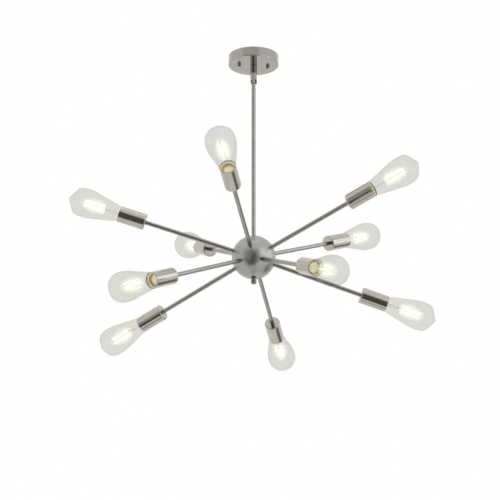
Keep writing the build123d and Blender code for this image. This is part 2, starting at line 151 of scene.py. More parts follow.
# Bulbs: length, cap and cement
bulb_length = 145.0
bulb_neck_in_cup = 5.0
bulb_cap_radius = 13.05
bulb_cap_height = 26.5
bulb_cap_wall = 1.4
bulb_thread_pitch = 3.63
bulb_thread_depth = 0.75
bulb_thread_start = 0.4
bulb_thread_runout = 4.0
bulb_cap_land = 0.5
bulb_cap_foot_inset = 0.3
button_radius = 4.6
button_height = 1.4
insulator_height = 5.1
insulator_foot_radius = 5.0
insulator_edge = 0.6
insulator_rounding = 0.4
cement_depth = 3.0
cement_dish = 0.8
cement_gap = 0.05
cement_setback = 0.1
cement_rim_width = 2.5
cement_rim_rounding = 1.0

# Bulb glass, from its neck to its tip
glass_wall = 0.9
glass_neck_radius = 11.5
glass_neck_in_cap = 5.5
glass_step_drop = 0.3
glass_step_out = 0.1
belly_radius = 32.0
belly_from_tip = 37.0
belly_ease = 5.5
flare_out = 1.5
flare_up = 3.5
flare_ease = 10.0
cone_foot_radius = 20.0
cone_foot_rise = 15.5
cone_top_inset = 1.6
cone_top_drop = 17.0
dome_ease = 14.0
nose_inset = 8.0
nose_ease = 5.0
nose_half_angle = radians(60)
tip_rounding = 3.0

# Glass stem in a bulb
stem_flare_radius = 10.5
stem_flare_height = 2.0
stem_flare_foot_rounding = 0.4
stem_flare_top_rounding = 0.6
stem_shoulder_rise = 9.0
stem_shoulder_rounding = 4.0
stem_column_rise = 14.0
stem_column_rounding = 3.0
stem_waist_radius = 2.6
stem_waist_drop = 5.0
stem_waist_rounding = 2.0
stem_head_radius = 3.0
stem_head_rounding = 2.4
stem_height = 31.5

# Filament sticks, their coats and the glow around them
stick_count = 4
stick_radius = 0.9
stick_rise = 4.0
stick_length = 50.0
stick_foot_spread = 9.0
stick_head_spread = 6.0
stick_core_inset = 1.5
coat_radius = 1.8
coat_inset = 2.5
coat_stations = (0, 0.03, 0.10, 0.22, 0.5, 0.78, 0.90, 0.97, 1)
coat_shares = (0.3, 0.55, 0.78, 0.93, 1, 0.93, 0.78, 0.55, 0.3)
glow_shares = (0.30, 0.45, 0.60, 0.74, 0.87, 1.0)
glow_radius = 17.0
glow_reach = 32.0
glow_taper = 0.12
glow_rings = 17

# Lead wires of the filaments
lead_radius = 0.35
lead_sink = 3.0
lead_hold = 2.0
lead_root_spread = 1.2
lead_root_sink = 1.5
lead_bend_spread = 2.2
lead_bend_rise = 1.2
lead_elbow_inset = 1.5
lead_elbow_drop = 1.6
lead_elbow_rise = 0.8
lead_foot_drop = 0.2
lead_crown_rise = 0.4

# Distances from the hub's centre, up the stem or out along an arm
stem_seat = sqrt(ball_radius**2 - stem_hole_radius**2)
arm_seat = sqrt(ball_radius**2 - spigot_hole_radius**2)
arm_nut_seat = sqrt(ball_inner_radius**2 - (arm_nut_flats / sqrt(3)) ** 2)
spigot_start = arm_nut_seat - arm_nut_height - spigot_spare
spigot_end = arm_reach + cup_wall + arm_nut_height + spigot_spare
cup_rim = arm_reach + cup_length
bulb_seat = cup_rim - bulb_neck_in_cup - bulb_cap_height
bulb_cap_foot = bulb_seat + button_height + insulator_height
bulb_cap_top = bulb_seat + bulb_cap_height
bulb_tip = bulb_seat + bulb_length
glass_foot = bulb_cap_top - glass_neck_in_cap
stem_top = bulb_cap_top + stem_height
stick_foot = stem_top + stick_rise
stick_head = stick_foot + stick_length
hub_place = Matrix.Translation((0, 0, -hub_drop * MM))


# Mesh helpers. Edges steeper than the sharp angle, in degrees, are shaded as sharp; glass and glow have
# a larger one. A flat strip lies beside each rounding, at most this share of its radius wide.

sharp_angle = 35
glass_sharp_angle = 60
ease_share = 0.3


def rounded(corners, closed=False, steps=6):
    """Profile points with their corners rounded; each corner is (radius, height, fillet)."""
    points = []
    count = len(corners)
    for i, (r, z, fillet) in enumerate(corners):
        here = Vector((r, z))
        if fillet == 0 or (not closed and i in (0, count - 1)):
            points.append(here)
            continue
        back = Vector(corners[i - 1][:2]) - here
        ahead = Vector(corners[(i + 1) % count][:2]) - here
        half = back.angle(ahead) / 2
        trim = fillet / tan(half)
        ease = ease_share * min(fillet, max(0.0, min(back.length, ahead.length) - trim))
        back.normalize()
        ahead.normalize()
        centre = here + (back + ahead).normalized() * (fillet / sin(half))
        spoke = here + back * trim - centre
        turn = spoke.angle_signed(here + ahead * trim - centre)
        if ease > 0:
            points.append(here + back * (trim + ease))
        for step in range(steps + 1):
            angle = -turn * step / steps
            points.append(centre + Vector((
                spoke.x * cos(angle) - spoke.y * sin(angle),
                spoke.x * sin(angle) + spoke.y * cos(angle),
            )))
        if ease > 0:
            points.append(here + ahead * (trim + ease))
    return points


def bezier(a, b, c, d, count):
    """Points of a cubic curve, without its first point."""
    out = []
    for i in range(1, count + 1):
        t = i / count
        s = 1 - t
        out.append(tuple(
            s**3 * a[k] + 3 * s * s * t * b[k] + 3 * s * t * t * c[k] + t**3 * d[k] for k in (0, 1)
        ))
    return out


def line(a, b, count):
    """Points of a straight run, without its first point."""
    return [tuple(a[k] + (b[k] - a[k]) * i / count for k in (0, 1)) for i in range(1, count + 1)]


def arc(radius, start, end, count):
    """Points on a circle about the centre, by angle from the level."""
    turns = [start + (end - start) * i / count for i in range(count + 1)]
    return [(radius * cos(turn), radius * sin(turn)) for turn in turns]


def finished(name, bm, sharp=sharp_angle):
    """A smooth-shaded mesh from bm, sharp where its faces meet steeply."""
    bmesh.ops.recalc_face_normals(bm, faces=bm.faces)
    for face in bm.faces:
        face.smooth = True
    mesh = bpy.data.meshes.new(name)
    bm.to_mesh(mesh)
    bm.free()
    mesh.set_sharp_from_angle(angle=radians(sharp))
    return mesh


def lathe(name, points, segments=96, closed=False, shape=None, sharp=sharp_angle):
    """A mesh turned about +Z from (radius, height) points; shape can change a radius by its angle."""
    bm = bmesh.new()
    rings = []
    for r, z in points:
        if r < TINY:
            rings.append([bm.verts.new((0, 0, z * MM))])
            continue
        ring = []
        for k in range(segments):
            turn = 2 * pi * k / segments
            radius = shape(r, z, turn) if shape else r
            ring.append(bm.verts.new((radius * cos(turn) * MM, radius * sin(turn) * MM, z * MM)))
        rings.append(ring)
    if closed:
        rings.append(rings[0])
    for low, high in zip(rings, rings[1:]):
        for k in range(segments):
            j = (k + 1) % segments
            corners = []
            for vert in (
                low[k % len(low)], low[j % len(low)], high[j % len(high)], high[k % len(high)]
            ):
                if vert not in corners:
                    corners.append(vert)
            if len(corners) > 2:
                bm.faces.new(corners)
    return finished(name, bm, sharp)


def cut(mesh, *cutters):
    """The mesh with other closed meshes taken out of it."""
    whole = bpy.data.objects.new("whole", mesh)
    scene.collection.objects.link(whole)
    tools = []
    for cutter in cutters:
        tool = bpy.data.objects.new("cutter", cutter)
        scene.collection.objects.link(tool)
        tools.append(tool)
        step = whole.modifiers.new("cut", "BOOLEAN")
        step.operation = "DIFFERENCE"
        step.solver = "EXACT"
        step.object = tool
    bpy.context.view_layer.update()
    made = bpy.data.meshes.new_from_object(whole.evaluated_get(bpy.context.evaluated_depsgraph_get()))
    made.name = mesh.name + "_cut"
    for obj in [whole, *tools]:
        bpy.data.objects.remove(obj)
    made.materials.clear()
    for polygon in made.polygons:
        polygon.use_smooth = True
        polygon.material_index = 0
    made.set_sharp_from_angle(angle=radians(sharp_angle))
    return made


def cylinder(radius, low, high, place=Matrix()):
    """A closed cylinder along +Z, for cutting."""
    mesh = lathe("cylinder", [(0, low), (radius, low), (radius, high), (0, high)], segments=48)
    mesh.transform(place)
    return mesh


def box_mesh(size, centre, place=Matrix()):
    """A closed box, for cutting."""
    bm = bmesh.new()
    bmesh.ops.create_cube(bm, size=1, matrix=Matrix.LocRotScale(
        Vector(centre) * MM, None, Vector(size) * MM))
    mesh = finished("box", bm)
    mesh.transform(place)
    return mesh


def tube(points, radii, sides=10):
    """A round wire through points, with closed ends; radii is one radius or one for each point."""
    bm = bmesh.new()
    points = [Vector(p) for p in points]
    if not isinstance(radii, (list, tuple)):
        radii = [radii] * len(points)
    rings = []
    side = None
    for i, (p, radius) in enumerate(zip(points, radii)):
        along = (points[min(i + 1, len(points) - 1)] - points[max(i - 1, 0)]).normalized()
        if side is None:
            side = along.orthogonal().normalized()
        side = (side - along * side.dot(along)).normalized()
        other = along.cross(side)
        rings.append([
            bm.verts.new((p + (side * cos(a) + other * sin(a)) * radius) * MM)
            for a in (2 * pi * k / sides for k in range(sides))
        ])
    for low, high in zip(rings, rings[1:]):
        for k in range(sides):
            j = (k + 1) % sides
            bm.faces.new((low[k], low[j], high[j], high[k]))
    bm.faces.new(rings[0])
    bm.faces.new(rings[-1])
    return bm


def joined(name, parts, sharp=sharp_angle):
    """One mesh from several bmesh parts."""
    whole = bmesh.new()
    for part in parts:
        loose = bpy.data.meshes.new("loose")
        part.to_mesh(loose)
        part.free()
        whole.from_mesh(loose)
        bpy.data.meshes.remove(loose)
    return finished(name, whole, sharp)


def screw(radius, depth, pitch, low, high, rows=8):
    """Profile rows of a thread between two heights, and the shape that cuts it."""
    count = ceil((high - low) / pitch * rows)
    heights = [low + (high - low) * i / count for i in range(count + 1)]

    def shape(r, z, turn):
        if not (low - TINY <= z <= high + TINY) or r < radius - TINY:
            return r
        fade = max(0.0, min(1.0, (z - low) / pitch, (high - z) / pitch))
        return r - depth * fade * (0.5 - 0.5 * cos(2 * pi * z / pitch - turn))

    return [(radius, z) for z in heights], shape


# Material helpers. Reliefs are in metres, and most values of a noise lie between its low and high.

noise_low = 0.3
noise_high = 0.7
turned_relief = 0.0002
mottle_relief = 0.0003
wave_scale = 40
wave_relief = 0.0006
wave_strength = 0.1
glass_rough = (0.02, 0.06)
glass_edge_start = 0.45
glass_mirror_least = 0.006
glass_mirror_power = 4.0
lit_rough = (0.45, 0.6)


def new_material(name):
    """A material with its nodes, links and main shader."""
    material = bpy.data.materials.new(name)
    material.use_nodes = True
    tree = material.node_tree
    return material, tree.nodes, tree.links, tree.nodes["Principled BSDF"]


def coordinates(nodes, links, stretch=(1, 1, 1), drawn=True):
    """A piece's coordinates as it was drawn, or a model node's own, stretched."""
    if drawn:
        source = nodes.new("ShaderNodeAttribute")
        source.attribute_name = "drawn"
        vector = source.outputs["Vector"]
    else:
        vector = nodes.new("ShaderNodeTexCoord").outputs["Object"]
    scale = nodes.new("ShaderNodeMapping")
    scale.inputs["Scale"].default_value = stretch
    links.new(vector, scale.inputs["Vector"])
    return scale.outputs["Vector"]


def noise(nodes, links, vector, scale, detail=3.0, roughness=0.5):
    """A noise texture on a vector socket."""
    node = nodes.new("ShaderNodeTexNoise")
    node.inputs["Scale"].default_value = scale
    node.inputs["Detail"].default_value = detail
    node.inputs["Roughness"].default_value = roughness
    links.new(vector, node.inputs["Vector"])
    return node.outputs["Fac"]


def ramp(nodes, links, value, low, high, start=noise_low, end=noise_high):
    """A colour ramp between two colours."""
    node = nodes.new("ShaderNodeValToRGB")
    node.color_ramp.elements[0].position = start
    node.color_ramp.elements[1].position = end
    node.color_ramp.elements[0].color = (*low, 1)
    node.color_ramp.elements[1].color = (*high, 1)
    links.new(value, node.inputs["Fac"])
    return node.outputs["Color"]


def spread(nodes, links, value, low, high):
    """A noise value mapped to low..high."""
    node = nodes.new("ShaderNodeMapRange")
    node.inputs["From Min"].default_value = noise_low
    node.inputs["From Max"].default_value = noise_high
    node.inputs["To Min"].default_value = low
    node.inputs["To Max"].default_value = high
    links.new(value, node.inputs["Value"])
    return node.outputs["Result"]


def bump(nodes, links, value, shader, strength, distance):
    """Bump from a value, with its height in metres."""
    node = nodes.new("ShaderNodeBump")
    node.inputs["Strength"].default_value = strength
    node.inputs["Distance"].default_value = distance
    links.new(value, node.inputs["Height"])
    links.new(node.outputs["Normal"], shader.inputs["Normal"])


def metal(name, dark, light, rough, grain=(30, 30, 2200), lines=0.02, cloud=45, drawn=True):
    """Plated metal: a faint cloudy tint, and fine turned lines in its gloss and relief."""
    material, nodes, links, shader = new_material(name)
    shader.inputs["Metallic"].default_value = 1.0
    clouds = noise(nodes, links, coordinates(nodes, links, drawn=drawn), cloud, detail=4)
    links.new(ramp(nodes, links, clouds, dark, light), shader.inputs["Base Color"])
    stretched = coordinates(nodes, links, grain, drawn)
    turned = noise(nodes, links, stretched, scale=1.0, detail=5, roughness=0.6)
    links.new(spread(nodes, links, turned, *rough), shader.inputs["Roughness"])
    bump(nodes, links, turned, shader, lines, turned_relief)
    return material


def moulded(name, dark, light, rough, scale, relief, drawn=True, metallic=0.0, glow=0.0):
    """Paint, porcelain or cement: a fine mottle in its colour, gloss and relief. The glow is painted
    light, an emission in its own colour that stands in for the light a lit filament close by throws on
    it."""
    material, nodes, links, shader = new_material(name)
    mottle = noise(nodes, links, coordinates(nodes, links, drawn=drawn), scale, detail=5)
    colour = ramp(nodes, links, mottle, dark, light)
    links.new(colour, shader.inputs["Base Color"])
    links.new(colour, shader.inputs["Emission Color"])
    shader.inputs["Emission Strength"].default_value = glow
    material.cycles.emission_sampling = "NONE"
    links.new(spread(nodes, links, mottle, *rough), shader.inputs["Roughness"])
    shader.inputs["Metallic"].default_value = metallic
    bump(nodes, links, mottle, shader, relief, mottle_relief)
    return material


def glass(name, clear, edge, mirror_edge):
    """Thin glass: it dims what is behind it, more so where it is seen edge-on, and mirrors there."""
    material, nodes, links, shader = new_material(name)
    nodes.remove(shader)
    slant = nodes.new("ShaderNodeLayerWeight")
    through = nodes.new("ShaderNodeBsdfTransparent")
    tint = ramp(nodes, links, slant.outputs["Facing"], clear, edge, glass_edge_start, 1.0)
    links.new(tint, through.inputs["Color"])
    gloss = nodes.new("ShaderNodeBsdfGlossy")
    waves = noise(nodes, links, coordinates(nodes, links), wave_scale, detail=1)
    links.new(spread(nodes, links, waves, *glass_rough), gloss.inputs["Roughness"])
    bump(nodes, links, waves, gloss, wave_strength, wave_relief)
    steep = nodes.new("ShaderNodeMath")
    steep.operation = "POWER"
    steep.inputs[1].default_value = glass_mirror_power
    links.new(slant.outputs["Facing"], steep.inputs[0])
    mirror = nodes.new("ShaderNodeMapRange")
    mirror.inputs["To Min"].default_value = glass_mirror_least
    mirror.inputs["To Max"].default_value = mirror_edge
    links.new(steep.outputs["Value"], mirror.inputs["Value"])
    shine = nodes.new("ShaderNodeMixShader")
    links.new(mirror.outputs["Result"], shine.inputs["Fac"])
    links.new(through.outputs["BSDF"], shine.inputs[1])
    links.new(gloss.outputs["BSDF"], shine.inputs[2])
    links.new(shine.outputs["Shader"], nodes["Material Output"].inputs["Surface"])
    return material


def lit(name, dark, light, glow_dark, glow_light, strength, chips, alpha=1.0, specular=0.5):
    """A lit filament material, mottled along its length."""
    material, nodes, links, shader = new_material(name)
    mottle = noise(nodes, links, coordinates(nodes, links, chips), scale=1.0, detail=2)
    links.new(ramp(nodes, links, mottle, dark, light), shader.inputs["Base Color"])
    links.new(ramp(nodes, links, mottle, glow_dark, glow_light), shader.inputs["Emission Color"])
    links.new(spread(nodes, links, mottle, *lit_rough), shader.inputs["Roughness"])
    shader.inputs["Emission Strength"].default_value = strength
    shader.inputs["Alpha"].default_value = alpha
    shader.inputs["Specular IOR Level"].default_value = specular
    material.cycles.emission_sampling = "NONE"
    return material


# Materials: two colours between which each one varies, and its range of roughness
polished_finish = (0.43, 0.41, 0.375), (0.48, 0.46, 0.42), (0.04, 0.08)
black = (0, 0, 0)
satin_nickel = metal(
    "satin_nickel", (0.31, 0.305, 0.29), (0.36, 0.355, 0.34), (0.22, 0.32), lines=0.06)
satin_ball = metal(
    "satin_ball", (0.34, 0.335, 0.32), (0.39, 0.385, 0.37), (0.29, 0.36), lines=0.05)
canopy_nickel = metal(
    "canopy_nickel", (0.34, 0.33, 0.305), (0.38, 0.37, 0.345), (0.07, 0.12), lines=0.015)
polished_nickel = metal("polished_nickel", *polished_finish, lines=0.012)
knuckle_nickel = metal("knuckle_nickel", *polished_finish, lines=0.012, drawn=False)
# Painted shade: the finial's polished nickel has about half the colour of the other polished parts,
# standing in for the dark reflections it shows
shaded_finial_nickel = metal(
    "shaded_finial_nickel", (0.21, 0.20, 0.185), (0.26, 0.25, 0.23), (0.04, 0.08), lines=0.012)
dark_steel = metal(
    "dark_steel", (0.05, 0.049, 0.047), (0.09, 0.088, 0.085), (0.25, 0.40),
    grain=(300, 300, 300), lines=0.05)
zinc_steel = metal(
    "zinc_steel", (0.46, 0.49, 0.52), (0.62, 0.64, 0.66), (0.28, 0.42),
    grain=(300, 300, 300), lines=0.08, cloud=160, drawn=False)
contact_brass = metal(
    "contact_brass", (0.62, 0.45, 0.17), (0.75, 0.58, 0.27), (0.22, 0.36),
    grain=(200, 200, 200), lines=0.05, cloud=150, drawn=False)
cap_brass = metal(
    "cap_brass", (0.70, 0.58, 0.32), (0.80, 0.68, 0.40), (0.20, 0.34),
    grain=(60, 60, 900), lines=0.05, cloud=120)
solder = metal(
    "solder", (0.52, 0.52, 0.50), (0.66, 0.66, 0.64), (0.25, 0.45),
    grain=(350, 350, 350), lines=0.2, cloud=300)
lead_wire = metal(
    "lead_wire", (0.45, 0.42, 0.38), (0.60, 0.56, 0.50), (0.25, 0.35),
    grain=(90, 90, 900), lines=0.04, cloud=200)
green_paint = moulded(
    "ground_green", (0.03, 0.22, 0.07), (0.07, 0.36, 0.13), (0.30, 0.45),
    scale=400, relief=0.1, drawn=False, metallic=0.4)
porcelain = moulded(
    "porcelain", (0.76, 0.70, 0.57), (0.84, 0.78, 0.66), (0.12, 0.25),
    scale=300, relief=0.06, drawn=False)
insulator_glass = moulded(
    "insulator_glass", (0.010, 0.010, 0.014), (0.03, 0.03, 0.04), (0.08, 0.18),
    scale=260, relief=0.05)
# Painted light: the cement glows a little, standing in for the light of the filament above it
cement = moulded(
    "cement", (0.91, 0.85, 0.66), (0.97, 0.92, 0.76), (0.55, 0.75),
    scale=700, relief=0.3, glow=0.5)
# Painted light: the liner card glows a little, standing in for the light of the bulb in its cup
liner_card = moulded(
    "liner_card", (0.91, 0.855, 0.67), (0.97, 0.925, 0.77), (0.5, 0.7),
    scale=500, relief=0.1, glow=0.4)
floor_paint = moulded(
    "floor_paint", (0.84, 0.84, 0.835), (0.88, 0.88, 0.875), (0.6, 0.75),
    scale=3, relief=0.05, drawn=False)
clear_glass = glass("clear_glass", (0.914, 0.916, 0.906), (0.888, 0.89, 0.878), mirror_edge=0.12)
stem_glass = glass("stem_glass", (0.955, 0.955, 0.93), (0.88, 0.88, 0.845), mirror_edge=0.40)
filament_core = lit(
    "filament_core", (0.30, 0.26, 0.16), (0.36, 0.32, 0.22), (1.0, 0.97, 0.84), (1.0, 1.0, 0.92),
    strength=1.1, chips=(20, 20, 900), specular=0.1)
phosphor = lit(
    "phosphor_coat", black, black, (1.0, 0.98, 0.88), (1.0, 1.0, 0.93),
    strength=1.4, chips=(60, 60, 400), alpha=0.3, specular=0)
glow_light = lit(
    "filament_glow", black, black, (1.0, 0.975, 0.87), (1.0, 0.995, 0.92),
    strength=1.3, chips=(30, 30, 60), alpha=0.10, specular=0)


# Placing pieces

def piece(name, mesh, material, body, place=Matrix(), replaces=()):
    """A shown piece that moves with a body: a copy of a drawn mesh in its place, which keeps its drawn
    coordinates for its material."""
    copy = mesh.copy()
    spots = [0.0] * (3 * len(copy.vertices))
    copy.vertices.foreach_get("co", spots)
    copy.attributes.new("drawn", "FLOAT_VECTOR", "POINT").data.foreach_set("vector", spots)
    copy.transform(place)
    copy.materials.append(material)
    obj = bpy.data.objects.new(name, copy)
    scene.collection.objects.link(obj)
    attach(obj, body)
    if replaces:
        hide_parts(*replaces)


def arm_place(axis):
    """The place of an arm whose pieces are drawn along +Z from the hub's centre."""
    along = Vector(axis).normalized()
    across = Vector((-along.y, along.x, 0)).normalized()
    turn = Matrix((across, along.cross(across), along)).transposed()
    return hub_place @ turn.to_4x4()


arm_places = [
    arm_place(joint["axis"]) for joint in frame["joints"] if joint["name"].endswith("_unscrew")
]
upper_places = [place for place in arm_places if place.col[2].z > 0]
lower_places = [place for place in arm_places if place.col[2].z < 0]

# Ceiling mount
canopy_inner = canopy_radius - canopy_wall
canopy_floor = canopy_wall - canopy_height
canopy_profile = rounded([
    (nipple_hole_radius, -canopy_height, fine_edge),
    (canopy_radius, -canopy_height, canopy_edge_radius),
    (canopy_radius, 0, canopy_rim_rounding),
    (canopy_inner, 0, canopy_rim_rounding),
    (canopy_inner, canopy_floor, canopy_edge_radius - canopy_wall),
    (nipple_hole_radius, canopy_floor, fine_edge),
], closed=True)
stud_places = [Matrix.Translation((side * stud_offset * MM, 0, 0)) for side in (-1, 1)]
stud_holes = [
    cylinder(
        stud_hole_radius, -canopy_height - stud_cutter_reach, stud_cutter_reach - canopy_height, place)
    for place in stud_places
]
canopy_mesh = cut(lathe("canopy", canopy_profile, segments=160, closed=True), *stud_holes)
piece("canopy_shell", canopy_mesh, canopy_nickel, "ceiling_mount", replaces=["canopy"])


def knurl(r, z, turn):
    """A fine straight knurl on a cap nut's skirt."""
    below = -canopy_height - z
    if knurl_start < below < cap_nut_skirt + knurl_runout and r > cap_nut_radius - knurl_band:
        return r - knurl_depth * (0.5 + 0.5 * cos(knurl_teeth * turn))
    return r


cap_nut_foot = -canopy_height - cap_nut_height
cap_nut_profile = rounded([
    (stud_bore_radius, -canopy_height, 0),
    (cap_nut_radius, -canopy_height, cap_nut_rim_rounding),
    (cap_nut_radius, -canopy_height - cap_nut_skirt, 0),
    (cap_nut_radius, cap_nut_foot, cap_nut_dome_radius),
    (0, cap_nut_foot, 0),
])
cap_nut_bore_end = -canopy_height - cap_nut_bore
cap_nut_profile += [(0, cap_nut_bore_end), (stud_bore_radius, cap_nut_bore_end)]
cap_nut_mesh = lathe("cap_nut", cap_nut_profile, segments=4 * knurl_teeth, closed=True, shape=knurl)
for number, place in enumerate(stud_places, start=1):
    piece(f"cap_nut_{number}", cap_nut_mesh, polished_nickel, "ceiling_mount", place,
          ["cap_nuts"] if number == 1 else ())

# Swivel: the forked sleeve and its cross pin
pin_axis = Vector((sin(radians(pin_heading)), -cos(radians(pin_heading)), 0))
pin_across = Vector((cos(radians(pin_heading)), sin(radians(pin_heading)), 0))
pin_place = Matrix.Translation((0, 0, pin_level * MM)) @ Matrix(
    (pin_across, pin_axis.cross(pin_across), pin_axis)
).transposed().to_4x4()
sleeve_end = sleeve_top - sleeve_length
sleeve_profile = rounded([
    (neck_bore_radius, sleeve_top, light_edge),
    (sleeve_radius, sleeve_top, plain_edge),
    (sleeve_radius, sleeve_end, sleeve_edge_radius),
    (fork_bore_radius, sleeve_end, light_edge),
    (fork_bore_radius, sleeve_end + fork_height, fine_edge),
    (sleeve_bore_radius, sleeve_end + fork_height, fine_edge),
    (sleeve_bore_radius, sleeve_top - sleeve_cap_height, fine_edge),
    (neck_bore_radius, sleeve_top - sleeve_cap_height, fine_edge),
], closed=True)
slot_height = 2 * (fork_slot_rise + pin_level - sleeve_end)
sleeve_mesh = cut(
    lathe("sleeve", sleeve_profile, segments=96, closed=True),
    box_mesh(
        (3 * sleeve_radius, slot_height, fork_slot_width), (0, fork_slot_rise - slot_height / 2, 0),
        pin_place),
    cylinder(pin_hole_radius, -pin_length, pin_length, pin_place),
)
piece("swivel_body", sleeve_mesh, canopy_nickel, "swivel",
      replaces=["swivel_sleeve"])
pin_profile = rounded([
    (0, -pin_length / 2, 0), (pin_radius, -pin_length / 2, pin_edge_radius),
    (pin_radius, pin_length / 2, pin_edge_radius), (0, pin_length / 2, 0),
])
pin_mesh = lathe("pin", pin_profile, segments=48)
piece("swivel_cross_pin", pin_mesh, dark_steel, "swivel", pin_place, ["swivel_pin"])

# Rod, collar and finial
rod_foot = stem_seat + collar_height - hub_drop
rod_profile = rounded([
    (rod_bore_radius, rod_foot, fine_edge), (rod_radius, rod_foot, light_edge),
    (rod_radius, rod_top, wide_edge), (rod_bore_radius, rod_top, small_edge),
], closed=True)
rod_mesh = lathe("rod", rod_profile, segments=64, closed=True)
piece("rod_tube", rod_mesh, satin_nickel, "chandelier", replaces=["down_rod"])
collar_profile = rounded([
    (stem_hole_radius, stem_seat, fine_edge), (collar_radius, stem_seat, collar_edge_radius),
    (collar_radius, stem_seat + collar_height, collar_edge_radius),
    (stem_hole_radius, stem_seat + collar_height, fine_edge),
], closed=True)
collar_mesh = lathe("collar", collar_profile, segments=64, closed=True)
piece("rod_ring", collar_mesh, polished_nickel, "chandelier", hub_place,
      ["rod_collar"])
finial_neck_foot = -stem_seat - finial_neck_height
finial_knob_top = finial_neck_foot - finial_groove_height
finial_tip = finial_knob_top - finial_knob_height
finial_profile = rounded([
    (finial_bore_radius, -stem_seat, fine_edge),
    (finial_neck_radius, -stem_seat, wide_edge),
    (finial_neck_radius, finial_neck_foot, finial_neck_rounding),
    (finial_groove_radius, finial_neck_foot, plain_edge),
    (finial_groove_radius, finial_knob_top, plain_edge),
    (finial_knob_radius, finial_knob_top, finial_knob_top_radius),
    (finial_knob_radius, finial_tip, finial_knob_foot_radius),
    (0, finial_tip, 0),
])
finial_bore_end = -stem_seat - finial_bore_depth
finial_profile += [(0, finial_bore_end), (finial_bore_radius, finial_bore_end)]
finial_mesh = lathe("finial", finial_profile, segments=72, closed=True)
piece("finial_knob", finial_mesh, shaded_finial_nickel, "chandelier", hub_place, ["finial"])


# Ball hub. A face belongs to a sphere if it looks almost straight out or in, with its corners close by.

sphere_facing = 0.99
sphere_slack = 0.05


def on_sphere(spot):
    """Whether a point lies on the ball's outer or inner face."""
    slack = sphere_slack * MM
    return any(abs(spot.length - radius * MM) < slack for radius in (ball_radius, ball_inner_radius))


def ball_half(name, profile, places):
    """A half shell with a hole for each arm, shaded as a true sphere."""
    low, high = arm_seat - spigot_cutter_reach, ball_radius + spigot_cutter_reach
    holes = [
        cylinder(spigot_hole_radius, low, high, hub_place.inverted() @ place) for place in places
    ]
    mesh = cut(lathe(name, profile, segments=144, closed=True), *holes)
    normals = []
    for polygon in mesh.polygons:
        facing = polygon.normal.dot(polygon.center.normalized())
        outward = 1 if facing > 0 else -1
        for index in polygon.vertices:
            spot = mesh.vertices[index].co
            smooth = abs(facing) > sphere_facing and on_sphere(spot)
            normals.append(spot.normalized() * outward if smooth else polygon.normal)
    mesh.normals_split_custom_set(normals)
    return mesh


seam = ball_seam / ball_radius
outer_hole = acos(stem_hole_radius / ball_radius)
inner_hole = acos(stem_hole_radius / ball_inner_radius)
lip_foot = -acos(sqrt(ball_inner_radius**2 - lip_depth**2) / ball_inner_radius)
upper_profile = [(ball_radius - ball_seam, 0)] + arc(ball_radius, seam, outer_hole, count=48)
upper_profile += reversed(arc(ball_inner_radius, 0, inner_hole, count=40))
lower_profile = [(ball_radius - ball_seam, 0)] + arc(ball_radius, -seam, -outer_hole, count=48)
lower_profile += reversed(arc(ball_inner_radius, lip_foot, -inner_hole, count=40))
lower_profile += [
    (lip_radius - lip_wall, -lip_depth), (lip_radius - lip_wall, lip_rise),
    (lip_radius, lip_rise), (lip_radius, 0),
]
piece("hub_ball_upper", ball_half("ball_upper", upper_profile, upper_places), satin_ball, "chandelier",
      hub_place, ["hub_upper_shell"])
piece("hub_ball_lower", ball_half("ball_lower", lower_profile, lower_places), satin_ball, "chandelier",
      hub_place, ["hub_lower_shell"])

# Arm: a tube with a threaded spigot at each end
thread_size = spigot_radius, spigot_thread_depth, spigot_pitch
inner_thread, inner_shape = screw(*thread_size, spigot_start, arm_seat - spigot_undercut)
outer_thread, outer_shape = screw(*thread_size, arm_reach + cup_wall, spigot_end)
arm_profile = [(wire_bore_radius, spigot_start), *inner_thread]
arm_profile += rounded([
    (spigot_radius, arm_seat, 0), (arm_radius, arm_seat, plain_edge),
    (arm_radius, arm_reach, plain_edge), (spigot_radius, arm_reach, 0),
])
arm_profile += [*outer_thread, (wire_bore_radius, spigot_end)]


def arm_shape(r, z, turn):
    """Threads on both spigots."""
    if abs(r - spigot_radius) > TINY:
        return r
    return inner_shape(r, z, turn) if z < arm_seat else outer_shape(r, z, turn)


arm_mesh = lathe("arm", arm_profile, segments=48, closed=True, shape=arm_shape)

# Socket cup
cup_inner = cup_radius - cup_wall
cup_floor = arm_reach + cup_wall
cup_profile = rounded([
    (spigot_hole_radius, arm_reach, fine_edge),
    (cup_radius, arm_reach, cup_back_radius),
    (cup_radius, cup_rim, cup_rim_rounding),
    (cup_inner, cup_rim, cup_rim_rounding),
    (cup_inner, cup_floor, cup_back_radius - cup_wall),
    (spigot_hole_radius, cup_floor, fine_edge),
], closed=True, steps=10)
cup_mesh = lathe("cup", cup_profile, segments=128, closed=True)
liner_outer = cup_inner - liner_gap
liner_inner = liner_outer - liner_wall
liner_foot = cup_floor + arm_nut_height
liner_top = cup_rim - liner_setback
liner_mesh = lathe("liner", rounded([
    (liner_outer, liner_foot, fine_edge), (liner_outer, liner_top, small_edge),
    (liner_inner, liner_top, small_edge), (liner_inner, liner_foot, fine_edge),
], closed=True), segments=96, closed=True)


# Bulb

